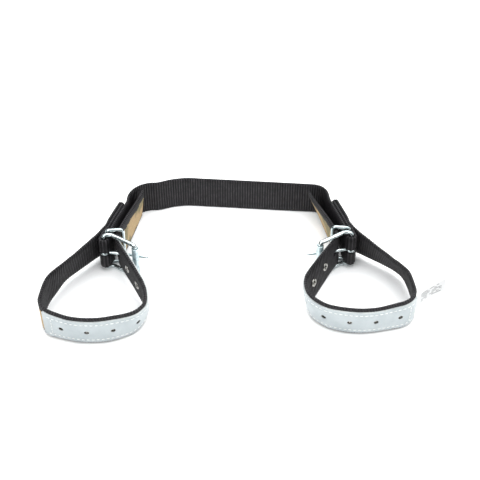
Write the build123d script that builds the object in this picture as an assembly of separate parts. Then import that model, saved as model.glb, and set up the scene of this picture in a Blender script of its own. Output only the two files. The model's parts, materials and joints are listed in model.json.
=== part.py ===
from build123d import *
import math
import os

# Webbing leg strap with two buckled cuffs. Millimetres, +Z up, origin under the middle of the footprint.
# Each cuff is drawn in its own frame: origin on the buckle's heel bar, +X outward, +Y to the back.
# The left cuff is the mirror image of the right one.

# ---- webbing ----
WEB_WIDTH = 38.0
WEB_THICK = 3.5
LAYER_STEP = 3.7            # centre to centre of two sewn layers
LIFT = 5.0                  # the webbing stands this high where the buckle frames carry it
LIFT_PROFILE = [(-130.0, 0.0), (-88.0, 0.0), (-20.0, LIFT), (14.0, LIFT), (78.0, 0.0), (130.0, 0.0)]

# ---- cuff layout ----
HEEL = {"left": (-131.0, -46.5), "right": (128.5, -42.0)}
CORNER = {"left": (-22.0, 98.0), "right": (-23.0, 89.5)}
CORNER_RADIUS = {"left": 26.0, "right": 16.0}
FLEX_POINT = {"left": (-80.0, 51.3), "right": (78.0, 49.6)}
BAND_CROWN = (-57.0, 60.6)
BAND_CROWN_RADIUS = 90.0
FLEX_GAP = 0.6              # each strap stops this far from the flex axis
STACK_HEADING = 105.0       # degrees, from the heel bar to the back fold
STACK_LENGTH = 66.0
LOOP_POINTS = {
    "left": [(5.0, 15.0), (37.0, -26.5), (56.0, -58.0), (57.5, -95.5), (4.0, -116.0),
             (-45.5, -95.0), (-47.0, -64.5), (-13.0, 2.0), (-33.0, 86.5)],
    "right": [(5.0, 15.0), (46.5, -24.0), (59.0, -52.5), (58.5, -89.0), (0.0, -105.0),
              (-30.0, -94.0), (-56.0, -72.0), (-13.0, 2.0), (-35.0, 86.0)],
}
LOOP_RADII = [18.0, 60.0, 45.0, 22.0, 80.0, 28.0, 28.0, 16.0]

FOOTPRINT_MIDDLE = (15.76, -49.65)  # moved to the origin when the files are written

# ---- buckle ----
FRAME_WIRE = 4.5
FRAME_HEADING = 204.0
FRAME_REACH = 37.0          # heel bar to free bar
FRAME_CRANK = (-6.0, 3.0)   # the side bars bow out here, beside the heel bar
FRAME_GAP = 0.5             # webbing edge to side bar
ROLLER_OUTER = 7.5
ROLLER_LENGTH = 36.5
RUNNING_GAP = 0.08
PRONG_WIRE = 3.2
PRONG_REACH = 46.0
PRONG_PLAY = 2.5            # degrees each way in the strap hole
KEEPER_WIRE = 4.0
KEEPER_BACK = 9.0           # behind the heel bar, along the stack
KEEPER_SPAN = 17.0
KEEPER_SWUNG = 20.0         # degrees that its outer leg lies behind its inner one

# ---- strap holes, leather, stitches and label ----
HOLE_COUNT = 8
HOLE_PITCH = 25.4
HOLE_DIAMETER = 5.0
TIP_TO_HOLE = 92.0          # along the tongue, tip to the hole in use
EYELET_FLANGE = 9.0
EYELET_FLANGE_THICK = 0.5
EYELET_SEAT = 0.5           # the flat flange stands this far off the curved webbing
LEATHER_THICK = 1.8
LEATHER_WIDTH = 31.0
LEATHER_PAST_HOLE = 6.5
LEATHER_AFTER_LAST = 20.0
STITCH_PITCH = 4.8
STITCH_SIZE = (3.2, 0.8, 0.4)
STITCH_INSET = 4.0
LABEL_SIZE = (43.0, 0.5, 16.0)
LABEL_HEIGHT = 26.0
LABEL_HEADING = 38.0
LABEL_CLEAR = 0.8

HALF_WEB = WEB_THICK / 2
WRAP_RADIUS = FRAME_WIRE / 2 + RUNNING_GAP + HALF_WEB
BAR_LOW = LIFT - FRAME_GAP - FRAME_WIRE / 2
BAR_HIGH = LIFT + WEB_WIDTH + FRAME_GAP + FRAME_WIRE / 2
MID_HEIGHT = LIFT + WEB_WIDTH / 2
FROM_BASE = (Align.CENTER, Align.CENTER, Align.MIN)
UP_TO_BASE = (Align.CENTER, Align.CENTER, Align.MAX)


def heading(degrees):
    """Unit vector in plan for a heading in degrees."""
    return Vector(math.cos(math.radians(degrees)), math.sin(math.radians(degrees)))


def beside(direction):
    """Unit vector to the left of a plan direction."""
    return Vector(-direction.Y, direction.X)


def on_stack(back, inward):
    """Plan point of the sewn stack: distance behind the heel bar, and inward from its middle line."""
    along = heading(STACK_HEADING)
    return along * back + beside(along) * inward


def lift_at(y):
    """Height of the webbing's lower edge at a distance behind the heel bar."""
    for (y0, z0), (y1, z1) in zip(LIFT_PROFILE, LIFT_PROFILE[1:]):
        if y <= y1:
            return z0 + (z1 - z0) * (y - y0) / (y1 - y0)
    return 0.0


def band_slab(low, height):
    """Everything between the lower edge raised by low and that plus height, in a cuff's frame."""
    lower = [(y, z + low) for y, z in LIFT_PROFILE]
    upper = [(y, z + low + height) for y, z in reversed(LIFT_PROFILE)]
    return extrude(Plane.YZ * Polygon(*lower, *upper, align=None), amount=150, both=True)


def ribbon(path, right, left):
    """Upright strip along a plan path, between two distances beside it, cut to no height yet."""
    sides = []
    for distance in (-right, left):
        curves = []
        for edge in path.order_edges():
            points = [edge @ u + beside(edge % u) * distance for u in (0, 0.5, 1)]
            if edge.geom_type == GeomType.LINE:
                curves.append(Line(points[0], points[2]))
            else:
                curves.append(ThreePointArc(*points))
        sides.append(curves)
    caps = [Line(sides[0][0] @ 0, sides[1][0] @ 0), Line(sides[0][-1] @ 1, sides[1][-1] @ 1)]
    return extrude(make_face(sides[0] + sides[1] + caps), amount=60)


def stack_path(side):
    """Webbing middle line from the band to the back fold: band end, corner, heel wrap, second layer."""
    heel_x, heel_y = HEEL[side]
    flex_x, flex_y = FLEX_POINT[side]
    start = Vector(abs(flex_x) - abs(heel_x), flex_y - heel_y)
    corner = Vector(*CORNER[side])
    start += (corner - start).normalized() * FLEX_GAP
    half = LAYER_STEP / 2
    inner = FilletPolyline(start, corner, on_stack(STACK_LENGTH + 4, half), on_stack(19, half),
                           on_stack(12, WRAP_RADIUS), on_stack(0, WRAP_RADIUS),
                           radius=[CORNER_RADIUS[side], 20, 12, 12])
    wrap = CenterArc((0, 0), WRAP_RADIUS, STACK_HEADING + 90, 180)
    second = FilletPolyline(on_stack(0, -WRAP_RADIUS), on_stack(12, -WRAP_RADIUS), on_stack(19, -half),
                            on_stack(STACK_LENGTH - 3, -half), radius=12)
    fold = CenterArc(on_stack(STACK_LENGTH - 3, -LAYER_STEP), half, STACK_HEADING + 90, -180)
    return inner, wrap, second, fold


def loop_path(side):
    """Webbing middle line from the back fold round the cuff to the tongue tip."""
    third = on_stack(STACK_LENGTH - 3, -1.5 * LAYER_STEP)
    leave = on_stack(22, -1.5 * LAYER_STEP)
    return FilletPolyline(third, leave, *LOOP_POINTS[side], radius=[20.0] + LOOP_RADII)


def trimmed(path, start, end):
    """Part of a wire between two distances from its start."""
    return path.trim(start / path.length, end / path.length)


def from_tip(path, distance):
    """Plan point and travel direction of the loop at a distance from the tongue tip."""
    u = 1 - distance / path.length
    return path @ u, path % u


def hole_distances():
    """Distances of the strap holes from the tongue tip, the one in use first."""
    return [TIP_TO_HOLE + i * HOLE_PITCH for i in range(HOLE_COUNT)]


def leather_ends():
    """Distances of the leather strip's two ends from the tongue tip."""
    holes = hole_distances()
    return holes[0] - LEATHER_PAST_HOLE, holes[-1] + LEATHER_AFTER_LAST


def standing_hole(point, direction, height, diameter, depth):
    """Cylinder that crosses the webbing at a plan point."""
    across = beside(direction)
    centre = Vector(point.X, point.Y, height)
    return Plane(origin=centre, z_dir=across) * Cylinder(diameter / 2, depth)


def prong_direction(loop):
    """Plan direction from the heel bar to the strap hole in use."""
    point, _ = from_tip(loop, TIP_TO_HOLE)
    return math.degrees(math.atan2(point.Y, point.X))


def prong_passage(loop):
    """Room that the prong's shank needs through the strap, over its whole play."""
    point, _ = from_tip(loop, TIP_TO_HOLE)
    reach = math.hypot(point.X, point.Y)
    width = PRONG_WIRE + 1.2 + 2 * (reach + 4) * math.sin(math.radians(PRONG_PLAY))
    aim = heading(prong_direction(loop))
    plane = Plane(origin=(point.X, point.Y, MID_HEIGHT), x_dir=aim, z_dir=(0, 0, 1))
    return plane * Box(13, width, PRONG_WIRE + 1.4)


def make_cuff_strap(side, loop):
    """The cuff's webbing with its heel wrap slot, prong slot and strap holes."""
    inner, wrap, second, fold = stack_path(side)
    path = Wire(inner.edges() + wrap.edges() + second.edges() + fold.edges() + loop.edges())
    strap = ribbon(path, HALF_WEB, HALF_WEB) & band_slab(0, WEB_WIDTH)
    strap -= Pos(0, 0, MID_HEIGHT) * Cylinder(WRAP_RADIUS + HALF_WEB + 0.4, PRONG_WIRE + 1.4)
    strap -= prong_passage(loop)
    for distance in hole_distances()[1:]:
        point, direction = from_tip(loop, distance)
        height = lift_at(point.Y) + WEB_WIDTH / 2
        strap -= standing_hole(point, direction, height, HOLE_DIAMETER, 3 * WEB_THICK)
    return strap


def make_leather_strip(loop):
    """Leather facing on the outer side of the loop."""
    near, far = leather_ends()
    part = trimmed(loop, loop.length - far, loop.length - near)
    low = (WEB_WIDTH - LEATHER_WIDTH) / 2
    strip = ribbon(part, -HALF_WEB, HALF_WEB + LEATHER_THICK) & band_slab(low, LEATHER_WIDTH)
    strip -= prong_passage(loop)
    for distance in hole_distances()[1:]:
        point, direction = from_tip(loop, distance)
        height = lift_at(point.Y) + WEB_WIDTH / 2
        strip -= standing_hole(point, direction, height, HOLE_DIAMETER, 4 * WEB_THICK)
    return strip


def make_eyelets(loop):
    """One flanged barrel per free strap hole, pressed in from the inner face."""
    eyelets = []
    for distance in hole_distances()[1:]:
        point, direction = from_tip(loop, distance)
        inward = beside(direction) * -1
        face = point + inward * (HALF_WEB + EYELET_SEAT)
        base = Vector(face.X, face.Y, lift_at(point.Y) + WEB_WIDTH / 2)
        plane = Plane(origin=base, z_dir=inward)
        flange = Cylinder(EYELET_FLANGE / 2, EYELET_FLANGE_THICK, align=FROM_BASE)
        barrel = Cylinder(HOLE_DIAMETER / 2, WEB_THICK + EYELET_SEAT, align=UP_TO_BASE)
        bore = Cylinder(HOLE_DIAMETER / 2 - 0.4, 3 * WEB_THICK)
        eyelets.append(plane * (flange + barrel - bore))
    return eyelets


def stitch(point, direction, height, outward):
    """One visible thread, lying on a face of the webbing or leather."""
    centre = point + outward * (STITCH_SIZE[2] / 2)
    plane = Plane(origin=(centre.X, centre.Y, height), x_dir=direction, z_dir=outward)
    return plane * Box(*STITCH_SIZE)


def make_leather_stitching(loop):
    """Two long rows and an end row of threads on the leather."""
    near, far = leather_ends()
    count = int((far - near) / STITCH_PITCH) - 2
    threads = []
    for i in range(count):
        distance = near + (i + 2) * STITCH_PITCH
        point, direction = from_tip(loop, distance)
        outward = beside(direction)
        face = point + outward * (HALF_WEB + LEATHER_THICK)
        middle = lift_at(point.Y) + WEB_WIDTH / 2
        for row in (-1, 1):
            height = middle + row * (LEATHER_WIDTH / 2 - STITCH_INSET)
            threads.append(stitch(face, direction, height, outward))
    point, direction = from_tip(loop, far - 10)
    outward = beside(direction)
    face = point + outward * (HALF_WEB + LEATHER_THICK + STITCH_SIZE[2] / 2)
    middle = lift_at(point.Y) + WEB_WIDTH / 2
    for i in (-2, -1, 0, 1, 2):
        plane = Plane(origin=(face.X, face.Y, middle + i * 4.2), x_dir=(0, 0, 1), z_dir=outward)
        threads.append(plane * Box(2.8, STITCH_SIZE[1], STITCH_SIZE[2]))
    return threads


def make_stack_stitching():
    """Threads of the sewn stack, showing on its outermost layer."""
    outer = -2 * LAYER_STEP - 0.05
    outward = beside(heading(STACK_HEADING)) * -1
    threads = []
    for i in range(7):
        back = 26.0 + i * 5.0
        face = on_stack(back, outer)
        middle = lift_at(face.Y) + WEB_WIDTH / 2
        for row in (-14, 14):
            threads.append(stitch(face, heading(STACK_HEADING), middle + row, outward))
    for back in (23.5, 58.5):
        face = on_stack(back, outer) + outward * (STITCH_SIZE[2] / 2)
        middle = lift_at(face.Y) + WEB_WIDTH / 2
        for i in range(-2, 3):
            plane = Plane(origin=(face.X, face.Y, middle + i * 5.4), x_dir=(0, 0, 1), z_dir=outward)
            threads.append(plane * Box(*STITCH_SIZE))
    return threads


def make_frame():
    """Round-wire frame: heel bar, two cranked side bars and the free bar."""
    free = heading(FRAME_HEADING) * FRAME_REACH
    crank = Vector(*FRAME_CRANK)
    low = Vector(0, 0, BAR_LOW)
    high = Vector(0, 0, BAR_HIGH)
    points = [low, crank + low, free + low, free + high, crank + high, high]
    path = FilletPolyline(*points, radius=[2.6, 8, 3, 3, 8, 2.6], close=True)
    wire = Wire(path.edges())
    return sweep(Plane(origin=wire @ 0, z_dir=wire % 0) * Circle(FRAME_WIRE / 2), path=wire)


def make_roller():
    """Tube that turns on the frame's free bar."""
    free = heading(FRAME_HEADING) * FRAME_REACH
    tube = Cylinder(ROLLER_OUTER / 2, ROLLER_LENGTH) - Cylinder(FRAME_WIRE / 2 + RUNNING_GAP, ROLLER_LENGTH)
    return Pos(free.X, free.Y, MID_HEIGHT) * chamfer(tube.edges().filter_by(GeomType.CIRCLE), 0.3)


def make_prong(loop):
    """Eye round the heel bar with a straight shank and a rounded tip."""
    ring = FRAME_WIRE / 2 + RUNNING_GAP + PRONG_WIRE / 2
    aim = heading(prong_direction(loop))
    plane = Plane(origin=(0, 0, MID_HEIGHT), x_dir=(0, 0, 1), z_dir=aim)
    shank = plane * Pos(0, 0, ring) * Cylinder(PRONG_WIRE / 2, PRONG_REACH - ring, align=FROM_BASE)
    tip = plane * Pos(0, 0, PRONG_REACH) * Sphere(PRONG_WIRE / 2)
    eye = Pos(0, 0, MID_HEIGHT) * Torus(ring, PRONG_WIRE / 2)
    return eye + shank + tip


def make_keeper():
    """Wire loop: one leg between the layers behind the heel bar, the other outside the tongue."""
    inner = on_stack(KEEPER_BACK, 0)
    outer = inner + heading(STACK_HEADING + 90 - KEEPER_SWUNG) * KEEPER_SPAN
    low = Vector(0, 0, BAR_LOW)
    high = Vector(0, 0, BAR_HIGH)
    path = FilletPolyline(inner + low, outer + low, outer + high, inner + high, radius=3, close=True)
    wire = Wire(path.edges())
    return sweep(Plane(origin=wire @ 0, z_dir=wire % 0) * Circle(KEEPER_WIRE / 2), path=wire)


def make_label(loop):
    """Small woven tag that comes out from under the leather's end."""
    _, far = leather_ends()
    point, direction = from_tip(loop, far + LABEL_CLEAR)
    root = point + beside(direction) * (HALF_WEB + LABEL_CLEAR)
    height = lift_at(root.Y) + LABEL_HEIGHT
    plane = Plane(origin=(root.X, root.Y, height), x_dir=heading(LABEL_HEADING), z_dir=(0, 0, 1))
    return plane * Box(*LABEL_SIZE, align=(Align.MIN, Align.CENTER, Align.CENTER))


def make_centre_strap():
    """Single layer of webbing between the two flex points."""
    crown = Vector(*BAND_CROWN)
    ends = []
    for side in ("left", "right"):
        flex = Vector(*FLEX_POINT[side])
        ends.append(flex + (crown - flex).normalized() * FLEX_GAP)
    path = Wire(FilletPolyline(ends[0], crown, ends[1], radius=BAND_CROWN_RADIUS).edges())
    return ribbon(path, HALF_WEB, HALF_WEB) & Box(400, 400, WEB_WIDTH, align=FROM_BASE)


def place(side, shape):
    """Move a piece from a cuff's own frame to its place, mirrored on the left."""
    turned = mirror(shape, about=Plane.YZ) if side == "left" else shape
    x, y = HEEL[side]
    return Pos(x, y, 0) * turned


def save(name, shapes):
    """Write one node's solids to its own file."""
    parts = shapes if isinstance(shapes, list) else [shapes]
    solids = [solid for part in parts for solid in part.solids()]
    moved = [Pos(-FOOTPRINT_MIDDLE[0], -FOOTPRINT_MIDDLE[1], 0) * solid for solid in solids]
    export_step(moved[0] if len(moved) == 1 else Compound(children=moved), f"parts/{name}.step")


os.makedirs("parts", exist_ok=True)
save("centre_strap", make_centre_strap())
for side in ("left", "right"):
    loop = Wire(loop_path(side).edges())
    pieces = {
        "cuff_strap": make_cuff_strap(side, loop),
        "leather_strip": make_leather_strip(loop),
        "eyelets": make_eyelets(loop),
        "leather_stitching": make_leather_stitching(loop),
        "stack_stitching": make_stack_stitching(),
        "buckle_frame": make_frame(),
        "buckle_roller": make_roller(),
        "buckle_prong": make_prong(loop),
        "keeper_loop": make_keeper(),
    }
    for name, shape in pieces.items():
        group = shape if isinstance(shape, list) else [shape]
        save(f"{side}_{name}", [place(side, piece) for piece in group])
save("right_care_label", place("right", make_label(loop)))
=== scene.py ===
import json
import logging
import math
from dataclasses import dataclass, field
from enum import Enum
from typing import Callable, Iterable, Optional, Sequence

import bmesh
import bpy
from mathutils import Matrix, Vector


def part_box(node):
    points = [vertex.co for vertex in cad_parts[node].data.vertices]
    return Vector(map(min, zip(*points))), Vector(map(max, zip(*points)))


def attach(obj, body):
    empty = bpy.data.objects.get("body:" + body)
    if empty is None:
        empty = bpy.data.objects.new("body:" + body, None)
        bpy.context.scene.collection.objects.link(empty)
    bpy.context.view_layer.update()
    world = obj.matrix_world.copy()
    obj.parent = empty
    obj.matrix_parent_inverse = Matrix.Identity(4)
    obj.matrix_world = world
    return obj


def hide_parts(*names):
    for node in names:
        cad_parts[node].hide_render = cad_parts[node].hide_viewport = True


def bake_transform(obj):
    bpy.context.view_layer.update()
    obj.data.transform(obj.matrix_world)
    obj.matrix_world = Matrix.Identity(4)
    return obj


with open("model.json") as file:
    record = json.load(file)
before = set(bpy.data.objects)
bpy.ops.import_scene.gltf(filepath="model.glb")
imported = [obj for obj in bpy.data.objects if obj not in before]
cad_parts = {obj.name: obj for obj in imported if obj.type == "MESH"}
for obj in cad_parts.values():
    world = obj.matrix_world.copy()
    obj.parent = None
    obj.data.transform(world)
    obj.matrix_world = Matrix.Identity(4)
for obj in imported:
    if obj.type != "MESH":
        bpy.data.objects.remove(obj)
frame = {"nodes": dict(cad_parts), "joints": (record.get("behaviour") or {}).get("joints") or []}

LOG = logging.getLogger("leg_strap")
MM = 0.001
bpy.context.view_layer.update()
Pair = tuple[float, float]


class Side(Enum):
    """Which cuff a piece belongs to."""

    LEFT = "left"
    RIGHT = "right"

    @property
    def outward(self) -> float:
        """Sign of X that points away from the middle of the strap."""
        return -1.0 if self is Side.LEFT else 1.0

    def named(self, piece: str) -> str:
        """The piece's name with the side in front."""
        return f"{self.value}_{piece}"


# ---------------------------------------------------------------- mesh helpers


def deselect_all() -> None:
    """Leave edit mode and deselect every object."""
    if bpy.context.object and bpy.context.object.mode != "OBJECT":
        bpy.ops.object.mode_set(mode="OBJECT")
    bpy.ops.object.select_all(action="DESELECT")


def make_active(piece: bpy.types.Object) -> None:
    """Select one object alone and make it the active one."""
    deselect_all()
    piece.select_set(True)
    bpy.context.view_layer.objects.active = piece


def apply_place(piece: bpy.types.Object) -> None:
    """Move an object's place, turn and scale into its mesh."""
    make_active(piece)
    bpy.ops.object.transform_apply(location=True, rotation=True, scale=True)


def apply_modifiers(piece: bpy.types.Object) -> None:
    """Apply every modifier of an object in order."""
    make_active(piece)
    for name in [modifier.name for modifier in piece.modifiers]:
        bpy.ops.object.modifier_apply(modifier=name)


def select_parts(kind: str, test: Callable[[Vector, Vector], bool]) -> None:
    """In edit mode, select the vertices, edges or faces that pass a test and nothing else.

    Args:
        kind: "VERT", "EDGE" or "FACE".
        test: takes the part's middle and its normal; an edge gives its direction instead.
    """
    bpy.ops.mesh.select_mode(type=kind)
    bpy.ops.mesh.select_all(action="DESELECT")
    mesh = bmesh.from_edit_mesh(bpy.context.object.data)
    mesh.normal_update()
    groups = {"VERT": mesh.verts, "EDGE": mesh.edges, "FACE": mesh.faces}
    for part in groups[kind]:
        if kind == "VERT":
            middle, normal = part.co, part.normal
        elif kind == "EDGE":
            middle = (part.verts[0].co + part.verts[1].co) / 2
            normal = (part.verts[1].co - part.verts[0].co).normalized()
        else:
            middle, normal = part.calc_center_median(), part.normal
        if test(middle, normal):
            part.select_set(True)
    bmesh.update_edit_mesh(bpy.context.object.data)


def cut_across(axis: int, places: Iterable[float]) -> None:
    """Cut the whole edit mesh with planes square to an axis.

    Args:
        axis: 0, 1 or 2.
        places: where the planes stand, in metres.
    """
    for place in places:
        point = [0.0, 0.0, 0.0]
        normal = [0.0, 0.0, 0.0]
        point[axis], normal[axis] = place, 1.0
        bpy.ops.mesh.select_mode(type="FACE")
        bpy.ops.mesh.select_all(action="SELECT")
        bpy.ops.mesh.bisect(plane_co=point, plane_no=normal)


def block(name: str, size: Sequence[float], centre: Sequence[float]) -> bpy.types.Object:
    """Add a box of a size at a place.

    Args:
        name: the object's name.
        size: its three sides in metres.
        centre: its middle.

    Returns:
        The new object, with its place in its mesh.
    """
    deselect_all()
    bpy.ops.mesh.primitive_cube_add(size=1, location=centre)
    piece = bpy.context.object
    piece.name = name
    piece.scale = size
    apply_place(piece)
    return piece


def smooth(piece: bpy.types.Object, degrees: float = 40.0) -> None:
    """Shade smooth, keeping edges sharper than an angle."""
    make_active(piece)
    bpy.ops.object.shade_smooth_by_angle(angle=math.radians(degrees))


def join(pieces: Sequence[bpy.types.Object], name: str) -> bpy.types.Object:
    """Join objects into one mesh with a new name."""
    deselect_all()
    for piece in pieces:
        piece.select_set(True)
    bpy.context.view_layer.objects.active = pieces[0]
    bpy.ops.object.join()
    pieces[0].name = name
    return pieces[0]


# ---------------------------------------------------------------- routes


@dataclass
class Station:
    """A corner of a plan route.

    Args:
        x, y: place in metres.
        bend: radius of the bend there.
        lean: degrees that the strap's top leans to the left of travel.
    """

    x: float
    y: float
    bend: float = 0.0
    lean: float = 0.0


@dataclass
class Route:
    """A plan route of straight runs joined by round bends, walked in small steps."""

    stations: list[Station]
    step: float = 1.0 * MM
    soften_steps: int = 12
    bend_step_degrees: float = 4.0
    points: list[Vector] = field(default_factory=list)
    leans: list[float] = field(default_factory=list)
    distances: list[float] = field(default_factory=list)

    def __post_init__(self) -> None:
        """Walk the route once."""
        marks: list[tuple[Vector, float]] = []
        stations = self.stations
        marks.append((Vector((stations[0].x, stations[0].y)), stations[0].lean))
        for before, here, after in zip(stations, stations[1:], stations[2:]):
            marks.extend(self._bend(before, here, after))
        marks.append((Vector((stations[-1].x, stations[-1].y)), stations[-1].lean))
        self._walk(marks)

    def _bend(self, before: Station, here: Station, after: Station) -> list[tuple[Vector, float]]:
        """Points of the round bend at one station."""
        corner = Vector((here.x, here.y))
        back = (Vector((before.x, before.y)) - corner).normalized()
        ahead = (Vector((after.x, after.y)) - corner).normalized()
        turn = math.pi - back.angle(ahead)
        if turn < 1e-4 or here.bend <= 0:
            return [(corner, here.lean)]
        reach = here.bend * math.tan(turn / 2)
        middle = corner + (back + ahead).normalized() * (here.bend / math.cos(turn / 2))
        first = corner + back * reach - middle
        sign = 1.0 if back.cross(ahead) < 0 else -1.0
        count = max(3, math.ceil(math.degrees(turn) / self.bend_step_degrees))
        turns = [Matrix.Rotation(sign * turn * i / count, 2) for i in range(count + 1)]
        return [(middle + part @ first, here.lean) for part in turns]

    def _walk(self, marks: list[tuple[Vector, float]]) -> None:
        """Fill in points, leans and distances at even steps."""
        at = 0.0
        for (start, lean_a), (end, lean_b) in zip(marks, marks[1:]):
            length = (end - start).length
            if length < 1e-7:
                continue
            count = max(1, round(length / self.step))
            for i in range(count):
                share = i / count
                self.points.append(start.lerp(end, share))
                self.leans.append(lean_a + (lean_b - lean_a) * share)
                self.distances.append(at + length * share)
            at += length
        self.points.append(marks[-1][0])
        self.leans.append(marks[-1][1])
        self.distances.append(at)
        self._soften(self.soften_steps)

    def _soften(self, reach: int) -> None:
        """Average each lean with its neighbours, so that the strap turns gradually."""
        source = list(self.leans)
        for i in range(len(source)):
            window = source[max(0, i - reach) : i + reach + 1]
            self.leans[i] = sum(window) / len(window)

    @property
    def length(self) -> float:
        """Whole length in metres."""
        return self.distances[-1]

    def curve(self, name: str, height: Callable[[Vector], float], half_width: float) -> bpy.types.Object:
        """Make the route a curve object that strips are bent along.

        Args:
            name: the object's name.
            height: gives the strip's lower edge at a plan point.
            half_width: half of the strip's width.

        Returns:
            The curve object.
        """
        data = bpy.data.curves.new(name, "CURVE")
        data.dimensions = "3D"
        data.twist_mode = "Z_UP"
        spline = data.splines.new("POLY")
        spline.points.add(len(self.points) - 1)
        for point, place, lean in zip(spline.points, self.points, self.leans):
            tilt = math.radians(lean)
            middle = height(place) + half_width * math.cos(tilt)
            point.co = (place.x, place.y, middle, 1)
            point.tilt = -tilt
        guide = bpy.data.objects.new(name, data)
        bpy.context.scene.collection.objects.link(guide)
        return guide


def bend_along(piece: bpy.types.Object, guide: bpy.types.Object) -> None:
    """Bend a flat piece along a curve and apply it: X follows the curve, Z stays up."""
    modifier = piece.modifiers.new("bend", "CURVE")
    modifier.object = guide
    modifier.deform_axis = "POS_X"
    apply_modifiers(piece)


# ---------------------------------------------------------------- finishes


def linear(code: str) -> tuple[float, float, float, float]:
    """Turn an sRGB hex colour such as "D6DEE2" into linear values with alpha 1."""
    values = [int(code[i : i + 2], 16) / 255 for i in (0, 2, 4)]
    straight = [v / 12.92 if v <= 0.04045 else ((v + 0.055) / 1.055) ** 2.4 for v in values]
    return (*straight, 1.0)


def add_node(tree: bpy.types.NodeTree, kind: str, settings: Optional[dict] = None,
             links: Optional[dict] = None) -> bpy.types.Node:
    """Add a shader node with its settings and links.

    Args:
        tree: the material's node tree.
        kind: the node's type name.
        settings: attribute names or input names (or numbers) with their values.
        links: input names (or numbers) with the output socket that feeds each.

    Returns:
        The new node.
    """
    node = tree.nodes.new(kind)
    for key, value in (settings or {}).items():
        if isinstance(key, str) and hasattr(node, key):
            setattr(node, key, value)
        else:
            node.inputs[key].default_value = value
    for key, socket in (links or {}).items():
        tree.links.new(socket, node.inputs[key])
    return node


def fill_ramp(node: bpy.types.Node, stops: Sequence[tuple[float, Sequence[float]]]) -> None:
    """Give a colour ramp node its stops."""
    elements = node.color_ramp.elements
    while len(elements) > 1:
        elements.remove(elements[-1])
    elements[0].position, elements[0].color = stops[0]
    for place, colour in stops[1:]:
        elements.new(place).color = colour


@dataclass(frozen=True)
class Finish:
    """A material made of nodes. Subclasses add their pattern in paint()."""

    name: str

    def build(self) -> bpy.types.Material:
        """Make the material, or give back the one already made."""
        known = bpy.data.materials.get(self.name)
        if known:
            return known
        material = bpy.data.materials.new(self.name)
        material.use_nodes = True
        tree = material.node_tree
        tree.nodes.clear()
        shader = tree.nodes.new("ShaderNodeBsdfPrincipled")
        output = tree.nodes.new("ShaderNodeOutputMaterial")
        tree.links.new(shader.outputs[0], output.inputs["Surface"])
        self.paint(tree, shader)
        return material

    def paint(self, tree: bpy.types.NodeTree, shader: bpy.types.Node) -> None:
        """Add this finish's nodes to the tree."""
        raise NotImplementedError

    def wear(self, *pieces: bpy.types.Object) -> None:
        """Put the finish on every face of the pieces."""
        for piece in pieces:
            piece.data.materials.clear()
            piece.data.materials.append(self.build())


@dataclass(frozen=True)
class RibbedWebbing(Finish):
    """Black polyester webbing, woven: painted shade makes it near black between the ribs, and a painted soft
    grey highlight sits on their threads.
    """

    # The first colour is painted shade in the valleys between the ribs; the third is a painted highlight on
    # the rib crowns, mixed with the threads' own tone.
    valley_shade: str = "040405"
    dark: str = "100F11"
    light: str = "3E3B3E"
    # The same coarsened spacing as the modelled ribs, so that the painted shade lines fall between them.
    rib: float = 2.8 * MM
    thread: float = 0.7 * MM

    def paint(self, tree: bpy.types.NodeTree, shader: bpy.types.Node) -> None:
        """Threads along each rib, painted shade in the grooves between the ribs, a painted highlight on the
        rib crowns, and a faint dusty variation.
        """
        flat = add_node(tree, "ShaderNodeUVMap", {"uv_map": "flat"})
        axes = add_node(tree, "ShaderNodeSeparateXYZ", {}, {0: flat.outputs[0]})
        # Across each rib a level runs from 0 in the valley to 1 on the crown; multiplied into the colour
        # below, it paints shade in the valleys and a highlight on the crowns.
        ridge = add_node(tree, "ShaderNodeMath", {"operation": "PINGPONG", 1: self.rib / 2},
                         {0: axes.outputs["X"]})
        level = add_node(tree, "ShaderNodeMapRange", {"From Max": self.rib / 2},
                         {"Value": ridge.outputs[0]})
        scale = 1.0 / self.thread
        size = add_node(tree, "ShaderNodeMapping", {"Scale": (scale, scale * 0.4, 1)},
                        {"Vector": flat.outputs[0]})
        cells = add_node(tree, "ShaderNodeTexVoronoi", {"Scale": 1.0}, {"Vector": size.outputs[0]})
        dust = add_node(tree, "ShaderNodeTexNoise", {"Scale": 160.0, "Detail": 5.0},
                        {"Vector": flat.outputs[0]})
        threads = add_node(tree, "ShaderNodeMath", {"operation": "MULTIPLY", 1: 0.5},
                           {0: cells.outputs["Distance"]})
        mix = add_node(tree, "ShaderNodeMath", {"operation": "ADD"},
                       {0: threads.outputs[0], 1: dust.outputs["Fac"]})
        lit = add_node(tree, "ShaderNodeMath", {"operation": "MULTIPLY"},
                       {0: mix.outputs[0], 1: level.outputs[0]})
        # The ramp runs from painted valley shade, through the webbing's own near black, to a painted crown
        # highlight.
        ramp = add_node(tree, "ShaderNodeValToRGB", {}, {"Fac": lit.outputs[0]})
        fill_ramp(ramp, [(0.05, linear(self.valley_shade)), (0.35, linear(self.dark)), (0.95, linear(self.light))])
        height = add_node(tree, "ShaderNodeMath", {"operation": "ADD"},
                          {0: level.outputs[0], 1: threads.outputs[0]})
        bump = add_node(tree, "ShaderNodeBump", {"Strength": 0.5, "Distance": 0.25 * MM},
                        {"Height": height.outputs[0]})
        tree.links.new(ramp.outputs["Color"], shader.inputs["Base Color"])
        tree.links.new(bump.outputs[0], shader.inputs["Normal"])
        shader.inputs["Roughness"].default_value = 0.6
        shader.inputs["Specular IOR Level"].default_value = 0.25


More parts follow.
